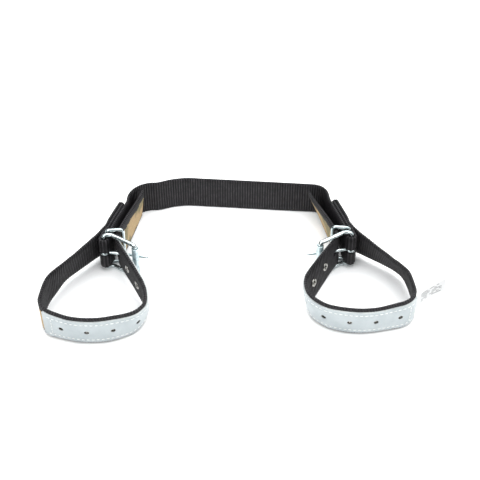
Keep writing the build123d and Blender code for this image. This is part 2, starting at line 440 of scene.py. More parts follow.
@dataclass(frozen=True)
class PatternedWebbing(Finish):
    """The same webbing's printed face: a tan field with jagged black margins, dull and threaded."""

    tan: str = "B59B73"
    olive: str = "857A58"
    black: str = "1C1B1D"
    thread: float = 0.6 * MM
    swing: float = 17 * MM
    upper: float = 9.5 * MM
    lower: float = -16 * MM

    def paint(self, tree: bpy.types.NodeTree, shader: bpy.types.Node) -> None:
        """Tan between two uneven margins, with stepped edges that follow the weave."""
        flat = add_node(tree, "ShaderNodeUVMap", {"uv_map": "flat"})
        axes = add_node(tree, "ShaderNodeSeparateXYZ", {}, {0: flat.outputs[0]})
        stretch = add_node(tree, "ShaderNodeMapping", {"Scale": (55, 260, 1)}, {"Vector": flat.outputs[0]})
        jag = add_node(tree, "ShaderNodeTexNoise", {"Scale": 1.0, "Detail": 4.0, "Roughness": 0.7},
                       {"Vector": stretch.outputs[0]})
        wander = add_node(tree, "ShaderNodeMath",
                          {"operation": "MULTIPLY_ADD", 1: self.swing, 2: -self.swing / 2},
                          {0: jag.outputs["Fac"]})
        across = add_node(tree, "ShaderNodeMath", {"operation": "ADD"},
                          {0: axes.outputs["Y"], 1: wander.outputs[0]})
        below = add_node(tree, "ShaderNodeMath", {"operation": "LESS_THAN", 1: self.upper},
                         {0: across.outputs[0]})
        above = add_node(tree, "ShaderNodeMath", {"operation": "GREATER_THAN", 1: self.lower},
                         {0: across.outputs[0]})
        inside = add_node(tree, "ShaderNodeMath", {"operation": "MULTIPLY"},
                          {0: below.outputs[0], 1: above.outputs[0]})
        patch = add_node(tree, "ShaderNodeTexNoise", {"Scale": 38.0, "Detail": 2.0},
                         {"Vector": flat.outputs[0]})
        tone = add_node(tree, "ShaderNodeValToRGB", {}, {"Fac": patch.outputs["Fac"]})
        fill_ramp(tone, [(0.42, linear(self.olive)), (0.5, linear(self.tan))])
        colour = add_node(tree, "ShaderNodeMix", {"data_type": "RGBA", 6: linear(self.black)},
                          {0: inside.outputs[0], 7: tone.outputs["Color"]})
        scale = 1.0 / self.thread
        size = add_node(tree, "ShaderNodeMapping", {"Scale": (scale * 0.5, scale, 1)},
                        {"Vector": flat.outputs[0]})
        cells = add_node(tree, "ShaderNodeTexVoronoi", {"Scale": 1.0}, {"Vector": size.outputs[0]})
        shade = add_node(tree, "ShaderNodeMix", {"data_type": "RGBA", "blend_type": "MULTIPLY", 0: 0.35},
                         {6: colour.outputs[2], 7: cells.outputs["Distance"]})
        bump = add_node(tree, "ShaderNodeBump", {"Strength": 0.4, "Distance": 0.2 * MM},
                        {"Height": cells.outputs["Distance"]})
        tree.links.new(shade.outputs[2], shader.inputs["Base Color"])
        tree.links.new(bump.outputs[0], shader.inputs["Normal"])
        shader.inputs["Roughness"].default_value = 0.75


@dataclass(frozen=True)
class CoatedLeather(Finish):
    """Split leather with a smooth cool-white coating: fine grain, slight sheen, soft creases."""

    coat: str = "AFB6B8"
    shade: str = "9CA4A7"
    grain: float = 0.9 * MM

    def paint(self, tree: bpy.types.NodeTree, shader: bpy.types.Node) -> None:
        """Fine pebble grain with a slow change of tone."""
        place = add_node(tree, "ShaderNodeTexCoord")
        grain = add_node(tree, "ShaderNodeTexVoronoi", {"Scale": 1.0 / self.grain},
                         {"Vector": place.outputs["Object"]})
        slow = add_node(tree, "ShaderNodeTexNoise", {"Scale": 45.0, "Detail": 6.0, "Roughness": 0.6},
                        {"Vector": place.outputs["Object"]})
        ramp = add_node(tree, "ShaderNodeValToRGB", {}, {"Fac": slow.outputs["Fac"]})
        fill_ramp(ramp, [(0.3, linear(self.shade)), (0.62, linear(self.coat))])
        bump = add_node(tree, "ShaderNodeBump", {"Strength": 0.16, "Distance": 0.25 * MM},
                        {"Height": grain.outputs["Distance"]})
        crease = add_node(tree, "ShaderNodeBump", {"Strength": 0.2, "Distance": 0.8 * MM},
                          {"Height": slow.outputs["Fac"], "Normal": bump.outputs[0]})
        tree.links.new(ramp.outputs["Color"], shader.inputs["Base Color"])
        tree.links.new(crease.outputs[0], shader.inputs["Normal"])
        shader.inputs["Roughness"].default_value = 0.42
        shader.inputs["Coat Weight"].default_value = 0.12
        shader.inputs["Coat Roughness"].default_value = 0.35


@dataclass(frozen=True)
class PlatedSteel(Finish):
    """Bright zinc plated steel wire: a clear cool mirror with faint drawing marks and dull spots."""

    bright: str = "CBD3D4"
    dull: str = "8F9B9C"
    rough: float = 0.16

    def paint(self, tree: bpy.types.NodeTree, shader: bpy.types.Node) -> None:
        """Cool metal with a slightly uneven polish."""
        place = add_node(tree, "ShaderNodeTexCoord")
        cloud = add_node(tree, "ShaderNodeTexNoise", {"Scale": 260.0, "Detail": 5.0},
                         {"Vector": place.outputs["Object"]})
        ramp = add_node(tree, "ShaderNodeValToRGB", {}, {"Fac": cloud.outputs["Fac"]})
        fill_ramp(ramp, [(0.32, linear(self.dull)), (0.6, linear(self.bright))])
        rough = add_node(tree, "ShaderNodeMapRange",
                         {"To Min": self.rough - 0.05, "To Max": self.rough + 0.14},
                         {"Value": cloud.outputs["Fac"]})
        bump = add_node(tree, "ShaderNodeBump", {"Strength": 0.06, "Distance": 0.15 * MM},
                        {"Height": cloud.outputs["Fac"]})
        tree.links.new(ramp.outputs["Color"], shader.inputs["Base Color"])
        tree.links.new(rough.outputs[0], shader.inputs["Roughness"])
        tree.links.new(bump.outputs[0], shader.inputs["Normal"])
        shader.inputs["Metallic"].default_value = 1.0


@dataclass(frozen=True)
class PolyesterThread(Finish):
    """Twisted polyester sewing thread: slightly glossy with a fine slanted twist."""

    colour: str = "F1F2F0"
    shade: str = "B9BBB8"
    twist: float = 0.7 * MM

    def paint(self, tree: bpy.types.NodeTree, shader: bpy.types.Node) -> None:
        """Slanted bands of the twist."""
        place = add_node(tree, "ShaderNodeTexCoord")
        wave = add_node(tree, "ShaderNodeTexWave",
                        {"bands_direction": "DIAGONAL", "Scale": 0.3 / self.twist},
                        {"Vector": place.outputs["Object"]})
        ramp = add_node(tree, "ShaderNodeValToRGB", {}, {"Fac": wave.outputs["Fac"]})
        fill_ramp(ramp, [(0.0, linear(self.shade)), (0.6, linear(self.colour))])
        tree.links.new(ramp.outputs["Color"], shader.inputs["Base Color"])
        shader.inputs["Roughness"].default_value = 0.5


@dataclass(frozen=True)
class SatinTag(Finish):
    """White woven satin tag with plain grey printed bars: silky, with a sheen along the weave."""

    ground: str = "BDBDBD"
    ink: str = "2E3034"
    line_space: float = 1.0 * MM
    line_from: float = 0.55 * MM
    print_from: float = 9 * MM
    print_to: float = 38 * MM
    print_half: float = 5.5 * MM

    def paint(self, tree: bpy.types.NodeTree, shader: bpy.types.Node) -> None:
        """Rows of broken grey bars inside a clear border, on a fine weave."""
        flat = add_node(tree, "ShaderNodeUVMap", {"uv_map": "flat"})
        axes = add_node(tree, "ShaderNodeSeparateXYZ", {}, {0: flat.outputs[0]})
        rows = add_node(tree, "ShaderNodeMath", {"operation": "PINGPONG", 1: self.line_space},
                        {0: axes.outputs["Y"]})
        line = add_node(tree, "ShaderNodeMath", {"operation": "GREATER_THAN", 1: self.line_from},
                        {0: rows.outputs[0]})
        scale = add_node(tree, "ShaderNodeMapping", {"Scale": (320, 500, 1)}, {"Vector": flat.outputs[0]})
        gaps = add_node(tree, "ShaderNodeTexWhiteNoise", {"noise_dimensions": "2D"})
        snap = add_node(tree, "ShaderNodeVectorMath", {"operation": "FLOOR"}, {0: scale.outputs[0]})
        tree.links.new(snap.outputs[0], gaps.inputs["Vector"])
        filled = add_node(tree, "ShaderNodeMath", {"operation": "GREATER_THAN", 1: 0.3},
                          {0: gaps.outputs["Value"]})
        left = add_node(tree, "ShaderNodeMath", {"operation": "GREATER_THAN", 1: self.print_from},
                        {0: axes.outputs["X"]})
        right = add_node(tree, "ShaderNodeMath", {"operation": "LESS_THAN", 1: self.print_to},
                         {0: axes.outputs["X"]})
        width = add_node(tree, "ShaderNodeMath", {"operation": "MULTIPLY"},
                         {0: left.outputs[0], 1: right.outputs[0]})
        height = add_node(tree, "ShaderNodeMath", {"operation": "COMPARE", 1: 0.0, 2: self.print_half},
                          {0: axes.outputs["Y"]})
        field_ = add_node(tree, "ShaderNodeMath", {"operation": "MULTIPLY"},
                          {0: width.outputs[0], 1: height.outputs[0]})
        print_ = add_node(tree, "ShaderNodeMath", {"operation": "MULTIPLY"},
                          {0: line.outputs[0], 1: filled.outputs[0]})
        ink = add_node(tree, "ShaderNodeMath", {"operation": "MULTIPLY"},
                       {0: print_.outputs[0], 1: field_.outputs[0]})
        colour = add_node(tree, "ShaderNodeMix",
                          {"data_type": "RGBA", 6: linear(self.ground), 7: linear(self.ink)},
                          {0: ink.outputs[0]})
        weave = add_node(tree, "ShaderNodeTexWave", {"bands_direction": "Y", "Scale": 600.0},
                         {"Vector": flat.outputs[0]})
        bump = add_node(tree, "ShaderNodeBump", {"Strength": 0.15, "Distance": 0.1 * MM},
                        {"Height": weave.outputs["Fac"]})
        tree.links.new(colour.outputs[2], shader.inputs["Base Color"])
        tree.links.new(bump.outputs[0], shader.inputs["Normal"])
        shader.inputs["Roughness"].default_value = 0.38
        shader.inputs["Sheen Weight"].default_value = 0.3


@dataclass(frozen=True)
class StudioPaper(Finish):
    """Matte white background paper with a barely visible tooth."""

    colour: str = "FAFAFA"

    def paint(self, tree: bpy.types.NodeTree, shader: bpy.types.Node) -> None:
        """A nearly even white."""
        place = add_node(tree, "ShaderNodeTexCoord")
        tooth = add_node(tree, "ShaderNodeTexNoise", {"Scale": 900.0}, {"Vector": place.outputs["Object"]})
        ramp = add_node(tree, "ShaderNodeValToRGB", {}, {"Fac": tooth.outputs["Fac"]})
        fill_ramp(ramp, [(0.2, linear("F4F4F4")), (0.8, linear(self.colour))])
        tree.links.new(ramp.outputs["Color"], shader.inputs["Base Color"])
        shader.inputs["Roughness"].default_value = 0.9


BLACK_WEBBING = RibbedWebbing("woven_polyester_webbing_black")
TAN_WEBBING = PatternedWebbing("woven_polyester_webbing_printed")
WHITE_LEATHER = CoatedLeather("coated_split_leather_white")
LEATHER_EDGE = CoatedLeather("coated_split_leather_cut_edge", coat="B9BDBC", shade="8E9294")
ZINC_WIRE = PlatedSteel("bright_zinc_plated_wire")
ZINC_TUBE = PlatedSteel("zinc_plated_rolled_tube", bright="BFCCCF", dull="8D9DA1", rough=0.26)
NICKEL_EYELET = PlatedSteel("nickel_plated_eyelet", bright="A9A7A2", dull="6E6D69", rough=0.2)
WHITE_THREAD = PolyesterThread("twisted_polyester_thread_white")
BLACK_THREAD = PolyesterThread("twisted_polyester_thread_black", colour="2B2B2E", shade="121214")
SATIN = SatinTag("woven_satin_tag")
PAPER = StudioPaper("background_paper_white")


# ---------------------------------------------------------------- the strap


@dataclass
class CuffPlan:
    """Plan of one cuff's webbing, in millimetres from the heel bar: X outward, Y to the back."""

    side: Side
    corner: Pair
    corner_bend: float
    loop: tuple[Station, ...]
    stack_heading: float = 105.0
    stack_length: float = 66.0
    layer_step: float = 3.7
    wrap_radius: float = 4.08

    @property
    def heel(self) -> Vector:
        """The heel bar's place in plan, in metres."""
        swing = self.side.named("frame_swing")
        found = next(joint for joint in frame["joints"] if joint["name"] == swing)
        return Vector(found["pos_m"][:2])

    def to_frame(self, x: float, y: float) -> Vector:
        """Turn a plan place in millimetres into a place in the shared frame, in metres."""
        return self.heel + Vector((x * self.side.outward, y)) * MM

    def on_stack(self, back: float, inward: float) -> Pair:
        """A place on the sewn stack: distance behind the heel bar, and inward from its middle."""
        turn = math.radians(self.stack_heading)
        x = back * math.cos(turn) - inward * math.sin(turn)
        y = back * math.sin(turn) + inward * math.cos(turn)
        return x, y

    def stations(self) -> list[Station]:
        """Corners of the route from the band's end to the tongue's tip, in the shared frame."""
        half = self.layer_step / 2
        wrap = self.wrap_radius
        fold = self.stack_length - 3 + half
        stack = [
            (self.stack_length + 4, half, 20),
            (19, half, 12),
            (12, wrap, 12),
            (-wrap, wrap, wrap),
            (-wrap, -wrap, wrap),
            (12, -wrap, 12),
            (19, -half, 12),
            (fold, -half, half),
            (fold, -3 * half, half),
            (22, -3 * half, 20),
        ]
        found = [Station(*self.corner, self.corner_bend, 2)]
        found += [Station(*self.on_stack(back, inward), bend, 0) for back, inward, bend in stack]
        found += self.loop
        return [self._placed(station) for station in found]

    def _placed(self, station: Station) -> Station:
        """The same station in metres in the shared frame."""
        place = self.to_frame(station.x, station.y)
        return Station(place.x, place.y, station.bend * MM, station.lean)


LEFT_LOOP = (
    Station(5, 15, 18, -8),
    Station(37, -26.5, 60, -17),
    Station(56, -58, 45, -4),
    Station(57.5, -95.5, 22, 2),
    Station(4, -116, 80, 7),
    Station(-45.5, -95, 28, 13.5),
    Station(-47, -64.5, 28, -3.5),
    Station(-13, 2, 16, -4),
    Station(-33, 86.5, 0, 8),
)
RIGHT_LOOP = (
    Station(5, 15, 18, -10),
    Station(46.5, -24, 60, -27),
    Station(59, -52.5, 45, -10.5),
    Station(58.5, -89, 22, 2.5),
    Station(0, -105, 80, 7),
    Station(-30, -94, 28, 10.5),
    Station(-56, -72, 28, 10),
    Station(-13, 2, 16, 3),
    Station(-35, 86, 0, 24),
)


@dataclass
class Strap:
    """One length of ribbed webbing from the left tongue's tip to the right one's.

    Pieces are first made flat, with X along the strap from the left tip, Y towards the printed
    face and Z across the width, and are then bent along the guide.
    """

    width: float = 38 * MM
    # Coarser than the real ribs: those are about 2.3 mm apart or less, near the finest that a render shows.
    rib_pitch: float = 2.8 * MM
    crown: float = 1.8 * MM
    valley: float = 1.35 * MM
    hole_size: float = 5 * MM
    hole_pitch: float = 25.4 * MM
    hole_count: int = 8
    first_hole: float = 92 * MM
    slot_height: float = 4.6 * MM
    seam_at: float = 26.5 * MM
    wrap_slot: float = 21 * MM
    prong_slot: float = 12 * MM
    cut_depth: float = 12 * MM
    blend_inward: float = 20 * MM
    blend_outward: Pair = (15.5 * MM, -13 * MM)
    crown_bend: float = 70 * MM
    flex_bend: float = 20 * MM
    corner_lean: float = 3.0
    crown_from_flex: Pair = (23 * MM, 9.3 * MM)
    lift_profile: tuple[Pair, ...] = ((-88, 0), (-20, 5), (14, 5), (78, 0))
    plans: dict[Side, CuffPlan] = field(default_factory=dict)

    def __post_init__(self) -> None:
        """Lay out the route and make the guide curve."""
        self.plans = {
            Side.LEFT: CuffPlan(Side.LEFT, (-22, 98), 26, LEFT_LOOP),
            Side.RIGHT: CuffPlan(Side.RIGHT, (-23, 89.5), 16, RIGHT_LOOP),
        }
        bend = self.flex(Side.LEFT) + Vector(self.crown_from_flex)
        crown = Station(bend.x, bend.y, self.crown_bend, self.corner_lean)
        left = [self._flex_station(Side.LEFT)] + self.plans[Side.LEFT].stations()
        right = [self._flex_station(Side.RIGHT)] + self.plans[Side.RIGHT].stations()
        self.route = Route(list(reversed(left)) + [crown] + right)
        self.guide = self.route.curve("strap_guide", self.height, self.width / 2)

    def flex(self, side: Side) -> Vector:
        """The plan place where a cuff flexes against the band."""
        name = side.named("cuff_flex")
        found = next(joint for joint in frame["joints"] if joint["name"] == name)
        return Vector(found["pos_m"][:2])

    def _flex_station(self, side: Side) -> Station:
        """The flex place as a corner of the route."""
        place = self.flex(side)
        return Station(place.x, place.y, self.flex_bend, self.corner_lean)

    def height(self, place: Vector) -> float:
        """Height of the webbing's lower edge at a plan place."""
        side = Side.LEFT if place.x < 0 else Side.RIGHT
        back = (place.y - self.plans[side].heel.y) / MM
        profile = self.lift_profile
        if back <= profile[0][0] or back >= profile[-1][0]:
            return 0.0
        for (y0, z0), (y1, z1) in zip(profile, profile[1:]):
            if back <= y1:
                share = (back - y0) / (y1 - y0)
                return (z0 + (z1 - z0) * share * share * (3 - 2 * share)) * MM
        return 0.0

    def along(self, side: Side, from_tip: float) -> float:
        """Place along the strap of a distance from one side's tongue tip."""
        return from_tip if side is Side.LEFT else self.route.length - from_tip

    def nearest(self, place: Vector) -> float:
        """Distance along the strap of the route's point nearest to a plan place."""
        gaps = [(point - place).length for point in self.route.points]
        return self.route.distances[gaps.index(min(gaps))]

    def holes(self) -> list[float]:
        """Distances of the strap holes from the tongue's tip, the one in use first."""
        return [self.first_hole + i * self.hole_pitch for i in range(self.hole_count)]

    def seam(self, side: Side) -> float:
        """Where the band's own piece meets a cuff's, at a whole number of ribs."""
        inward = Vector((-side.outward * self.seam_at, 0))
        return round(self.nearest(self.flex(side) + inward) / self.rib_pitch) * self.rib_pitch

    def rib(self) -> bpy.types.Object:
        """One rib of the weave: a rounded ridge across the strap that ends in a selvedge tooth."""
        pitch = self.rib_pitch
        half = self.width / 2
        piece = block("rib", (pitch, 2 * self.crown, self.width), (pitch / 2, 0, 0))
        bpy.ops.object.mode_set(mode="EDIT")
        cut_across(0, [0.14 * pitch, 0.32 * pitch, 0.5 * pitch, 0.68 * pitch, 0.86 * pitch])
        cut_across(2, [-half + 0.5 * MM, -half + 1.4 * MM, -12 * MM, -6 * MM, 0,
                       6 * MM, 12 * MM, half - 1.4 * MM, half - 0.5 * MM])
        for share, thin, narrow in ((0, 0, 0.985), (0.14, 0.45, 0.991), (0.32, 0.85, 0.998)):
            level = self.valley + (self.crown - self.valley) * thin
            for x in {share * pitch, (1 - share) * pitch}:
                select_parts("VERT", lambda co, _n, x=x: abs(co.x - x) < 1e-6)
                self._grow((1, level / self.crown, narrow))
        for edge, thin in ((half - 1 * MM, 0.62), (half - 0.3 * MM, 0.7)):
            select_parts("VERT", lambda co, _n, edge=edge: abs(co.z) > edge - 0.1 * MM)
            self._grow((1, thin, 1))
        select_parts("FACE", lambda _co, normal: abs(normal.x) > 0.95)
        bpy.ops.mesh.delete(type="ONLY_FACE")
        bpy.ops.object.mode_set(mode="OBJECT")
        return piece

    @staticmethod
    def _grow(factors: Sequence[float]) -> None:
        """Scale the selected vertices about the strap's middle."""
        bpy.ops.transform.resize(value=factors, center_override=(0, 0, 0))

    def webbing(self, name: str, start: float, end: float) -> bpy.types.Object:
        """A flat run of ribs between two places along the strap, closed at both ends."""
        first = math.floor(start / self.rib_pitch)
        count = math.ceil(end / self.rib_pitch) - first
        piece = self.rib()
        piece.name = name
        piece.location.x = first * self.rib_pitch
        apply_place(piece)
        ribs = piece.modifiers.new("ribs", "ARRAY")
        ribs.count = count
        ribs.use_relative_offset = False
        ribs.use_constant_offset = True
        ribs.constant_offset_displace = (self.rib_pitch, 0, 0)
        ribs.use_merge_vertices = True
        ribs.merge_threshold = 0.02 * MM
        apply_modifiers(piece)
        bpy.ops.object.mode_set(mode="EDIT")
        for place, way in ((start + 1e-5, -1), (end - 1e-5, 1)):
            bpy.ops.mesh.select_all(action="SELECT")
            bpy.ops.mesh.bisect(plane_co=(place, 0, 0), plane_no=(way, 0, 0), use_fill=True,
                                clear_outer=True)
        bpy.ops.mesh.select_all(action="SELECT")
        bpy.ops.mesh.normals_make_consistent(inside=False)
        bpy.ops.object.mode_set(mode="OBJECT")
        return piece

    def punch(self, piece: bpy.types.Object, side: Side, size: float, depth: float,
              holes: Sequence[float]) -> None:
        """Cut round holes and the slot for the prong through a flat piece.

        Args:
            piece: the flat piece.
            side: whose tongue the distances are counted from.
            size: the holes' diameter.
            depth: the cutters' length through the strap.
            holes: distances from the tip; the first becomes the prong's slot.
        """
        cutters = [self._slot(self.along(side, holes[0]), self.prong_slot, depth)]
        for distance in holes[1:]:
            deselect_all()
            bpy.ops.mesh.primitive_cylinder_add(vertices=28, radius=size / 2, depth=depth,
                                                location=(self.along(side, distance), 0, 0),
                                                rotation=(math.pi / 2, 0, 0))
            cutters.append(bpy.context.object)
            apply_place(bpy.context.object)
        self.cut(piece, join(cutters, "cutters"))

    def _slot(self, middle: float, length: float, depth: float) -> bpy.types.Object:
        """A cutter for a slot with rounded ends."""
        cutter = block("slot", (length, depth, self.slot_height), (middle, 0, 0))
        bpy.ops.object.mode_set(mode="EDIT")
        select_parts("EDGE", lambda _co, way: abs(way.y) > 0.9)
        bpy.ops.mesh.bevel(offset=0.48 * self.slot_height, segments=6)
        bpy.ops.object.mode_set(mode="OBJECT")
        return cutter

    @staticmethod
    def cut(piece: bpy.types.Object, cutter: bpy.types.Object) -> None:
        """Take a cutter's shape out of a piece and delete the cutter."""
        modifier = piece.modifiers.new("cut", "BOOLEAN")
        modifier.object = cutter
        modifier.solver = "EXACT"
        apply_modifiers(piece)
        bpy.data.objects.remove(cutter)

    @staticmethod
    def map_flat(piece: bpy.types.Object, zero: float = 0.0, way: float = 1.0) -> None:
        """Give a flat piece a UV map in metres: U along the strap, V across it."""
        layer = piece.data.uv_layers.get("flat") or piece.data.uv_layers.new(name="flat")
        for other in [known for known in piece.data.uv_layers if known.name != "flat"]:
            piece.data.uv_layers.remove(other)
        layer = piece.data.uv_layers["flat"]
        for loop in piece.data.loops:
            spot = piece.data.vertices[loop.vertex_index].co
            layer.data[loop.index].uv = ((spot.x - zero) * way, spot.z)

    def print_face(self, piece: bpy.types.Object) -> None:
        """Give the webbing its two finishes: printed on the +Y face, plain elsewhere."""
        piece.data.materials.clear()
        piece.data.materials.append(BLACK_WEBBING.build())
        piece.data.materials.append(TAN_WEBBING.build())
        limit = self.width / 2 - 1.2 * MM
        for face in piece.data.polygons:
            face.material_index = int(face.normal.y > 0.6 and abs(face.center.z) < limit)

    def build(self) -> None:
        """Make the band and both cuffs' webbing."""
        left, right = self.seam(Side.LEFT), self.seam(Side.RIGHT)
        band = self.webbing("centre_webbing", left, right)
        self._dress(band)
        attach(band, "centre")
        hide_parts("centre_strap")
        LOG.info("band: %.0f mm of webbing", (right - left) / MM)
        for side, start, end in ((Side.LEFT, 0, left), (Side.RIGHT, right, self.route.length)):
            piece = self.webbing(side.named("cuff_webbing"), start, end)
            self.punch(piece, side, self.hole_size, self.cut_depth, self.holes())
            heel = self.plans[side].heel
            turn = math.radians(self.plans[side].stack_heading)
            wrap = Vector((-math.cos(turn) * side.outward, -math.sin(turn)))
            wrap *= self.plans[side].wrap_radius * MM
            self.cut(piece, self._slot(self.nearest(heel + wrap), self.wrap_slot, self.cut_depth))
            self._dress(piece)
            self._flex_piece(piece, side)
            LOG.info("%s cuff: %.0f mm of webbing", side.value, (end - start) / MM)

    def _dress(self, piece: bpy.types.Object) -> None:
        """Map, print and bend a run of webbing."""
        self.map_flat(piece)
        self.print_face(piece)
        smooth(piece, 50)
        bend_along(piece, self.guide)

    def _flex_piece(self, piece: bpy.types.Object, side: Side) -> None:
        """Bake a cuff's webbing into place and hide the CAD strap that it stands in for."""
        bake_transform(piece)
        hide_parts(side.named("cuff_strap"))


# ---------------------------------------------------------------- what is sewn and pressed on


@dataclass
class LeatherFacing:
    """The leather strip on a cuff's outer face, with its stitching."""

    strap: Strap
    side: Side
    thickness: float = 1.8 * MM
    width: float = 31 * MM
    past_hole: float = 6.5 * MM
    after_last: float = 20 * MM
    hole_size: float = 5 * MM
    stitch_pitch: float = 4.8 * MM
    stitch_length: float = 3.3 * MM
    stitch_width: float = 0.85 * MM
    inset: float = 4 * MM
    seam_depth: float = 0.3 * MM
    seam_half: float = 1.3 * MM
    corner: float = 2.2 * MM
    rim_drop: float = 0.35 * MM
    end_row_from_end: float = 10 * MM
    end_row_pitch: float = 4.2 * MM
    end_row_count: int = 5

    @property
    def ends(self) -> Pair:
        """Distances of the strip's ends from the tongue's tip."""
        holes = self.strap.holes()
        return holes[0] - self.past_hole, holes[-1] + self.after_last

    @property
    def face(self) -> float:
        """Level of the leather's outer face above the strap's middle."""
        return self.strap.crown - 0.05 * MM + self.thickness

    def strip(self) -> bpy.types.Object:
        """The strip: sunk along its seams, rounded at its corners and edges, and punched."""
        near, far = self.ends
        middle = self.strap.along(self.side, (near + far) / 2)
        level = self.face - self.thickness / 2
        length = far - near
        size = (length, self.thickness, self.width)
        piece = block(self.side.named("leather_facing"), size, (middle, level, 0))
        bpy.ops.object.mode_set(mode="EDIT")
        select_parts("EDGE", lambda _co, way: abs(way.y) > 0.9)
        bpy.ops.mesh.bevel(offset=self.corner, segments=5)
        steps = round(length / (2 * MM))
        cut_across(0, [middle - length / 2 + length * i / steps for i in range(1, steps)])
        row = self.width / 2 - self.inset
        shifts = (-self.seam_half, 0, self.seam_half)
        cut_across(2, [way * (row + shift) for way in (-1, 1) for shift in shifts])
        cut_across(2, [-4 * MM, 4 * MM])
        top = self.face - 0.01 * MM
        select_parts("VERT", lambda co, _n: co.y > top and abs(abs(co.z) - row) < 0.1 * MM)
        bpy.ops.transform.translate(value=(0, -self.seam_depth, 0))
        rim = self.width / 2 - 0.05 * MM
        end = length / 2 - 0.05 * MM
        select_parts("VERT", lambda co, _n: co.y > top and (abs(co.z) > rim or abs(co.x - middle) > end))
        bpy.ops.transform.translate(value=(0, -self.rim_drop, 0))
        bpy.ops.object.mode_set(mode="OBJECT")
        self.strap.punch(piece, self.side, self.hole_size, 14 * MM, self.strap.holes())
        return piece

    def _dress(self, piece: bpy.types.Object) -> None:
        """Coated faces, raw cut edges, and the bend round the cuff."""
        zero = self.strap.along(self.side, self.ends[0])
        self.strap.map_flat(piece, zero, -self.side.outward)
        piece.data.materials.clear()
        piece.data.materials.append(WHITE_LEATHER.build())
        piece.data.materials.append(LEATHER_EDGE.build())
        for face in piece.data.polygons:
            face.material_index = int(face.normal.y < 0.5)
        smooth(piece, 35)
        bend_along(piece, self.strap.guide)
        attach(piece, self.side.named("cuff"))

    def thread(self, name: str, upright: bool = False) -> bpy.types.Object:
        """One stitch: a plump thread that dips into the leather at both ends."""
        deselect_all()
        bpy.ops.mesh.primitive_uv_sphere_add(segments=8, ring_count=7, radius=0.5)
        piece = bpy.context.object
        piece.name = name
        piece.rotation_euler = (0, math.pi / 2, 0)
        apply_place(piece)
        bpy.ops.object.mode_set(mode="EDIT")
        select_parts("VERT", lambda co, _n: 0.1 < abs(co.x) < 0.42)
        bpy.ops.transform.resize(value=(1.12, 1.0, 1.0), center_override=(0, 0, 0))
        bpy.ops.object.mode_set(mode="OBJECT")
        piece.scale = (self.stitch_length, 1.0 * MM, self.stitch_width)
        if upright:
            piece.rotation_euler = (0, math.pi / 2, 0)
        apply_place(piece)
        return piece

    def rows(self) -> bpy.types.Object:
        """Two long rows of stitches and one row across the far end."""
        near, far = self.ends
        level = self.face - self.seam_depth + 0.18 * MM
        row = self.width / 2 - self.inset
        count = int((far - near) / self.stitch_pitch) - 2
        pieces = []
        for height in (-row, row):
            stitch = self.thread("stitch")
            first = self.strap.along(self.side, near + 2 * self.stitch_pitch)
            stitch.location = (first, level, height)
            apply_place(stitch)
            self._repeat(stitch, count, (-self.side.outward * self.stitch_pitch, 0, 0))
            pieces.append(stitch)
        across = self.thread("stitch", upright=True)
        place = self.strap.along(self.side, far - self.end_row_from_end)
        low = -self.end_row_pitch * (self.end_row_count - 1) / 2
        across.location = (place, self.face + 0.1 * MM, low)
        apply_place(across)
        self._repeat(across, self.end_row_count, (0, 0, self.end_row_pitch))
        return join([*pieces, across], self.side.named("leather_thread"))

    @staticmethod
    def _repeat(piece: bpy.types.Object, count: int, step: Sequence[float]) -> None:
        """Copy a piece in a straight row."""
        modifier = piece.modifiers.new("row", "ARRAY")
        modifier.count = count
        modifier.use_relative_offset = False
        modifier.use_constant_offset = True
        modifier.constant_offset_displace = step
        apply_modifiers(piece)

    def build(self) -> None:
        """Make the strip and its stitching."""
        strip = self.strip()
        self._dress(strip)
        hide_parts(self.side.named("leather_strip"))
        thread = self.rows()
        WHITE_THREAD.wear(thread)
        smooth(thread, 60)
        bend_along(thread, self.strap.guide)
        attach(thread, self.side.named("cuff"))
        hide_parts(self.side.named("leather_stitching"))
        LOG.info("%s leather facing and its stitching", self.side.value)


@dataclass
class Eyelets:
    """Rolled eyelets pressed in from the cuff's inner face."""

    strap: Strap
    side: Side
    flange: float = 9 * MM
    bore: float = 4.2 * MM
    roll: float = 0.75 * MM
    wall: float = 0.35 * MM
    past_face: float = 1.3 * MM

    def eyelet(self, place: float) -> bpy.types.Object:
        """One eyelet: a rolled flange on the inner face and a barrel through to the leather."""
        middle = (self.flange + self.bore) / 4 + 0.05 * MM
        breadth = (self.flange - self.bore) / 4
        face = -self.strap.crown
        deselect_all()
        bpy.ops.mesh.primitive_torus_add(major_segments=32, minor_segments=10, major_radius=middle,
                                         minor_radius=breadth, rotation=(math.pi / 2, 0, 0))
        ring = bpy.context.object
        apply_place(ring)
        ring.scale = (1, self.roll / breadth, 1)
        ring.location = (place, face - 0.15 * MM, 0)
        apply_place(ring)
        deselect_all()
        depth = 2 * self.strap.crown + self.past_face
        bpy.ops.mesh.primitive_cylinder_add(vertices=32, radius=self.bore / 2, depth=depth,
                                            end_fill_type="NOTHING", rotation=(math.pi / 2, 0, 0),
                                            location=(place, face + depth / 2, 0))
        barrel = bpy.context.object
        apply_place(barrel)
        wall = barrel.modifiers.new("wall", "SOLIDIFY")
        wall.thickness = self.wall
        wall.offset = 1
        apply_modifiers(barrel)
        return join([ring, barrel], "eyelet")

    def build(self) -> None:
        """Make all the eyelets of one cuff as one piece."""
        made = [self.eyelet(self.strap.along(self.side, place)) for place in self.strap.holes()[1:]]
        piece = join(made, self.side.named("rolled_eyelets"))
        NICKEL_EYELET.wear(piece)
        smooth(piece, 40)
        bend_along(piece, self.strap.guide)
        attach(piece, self.side.named("cuff"))
        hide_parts(self.side.named("eyelets"))
        LOG.info("%s eyelets: %d", self.side.value, len(made))


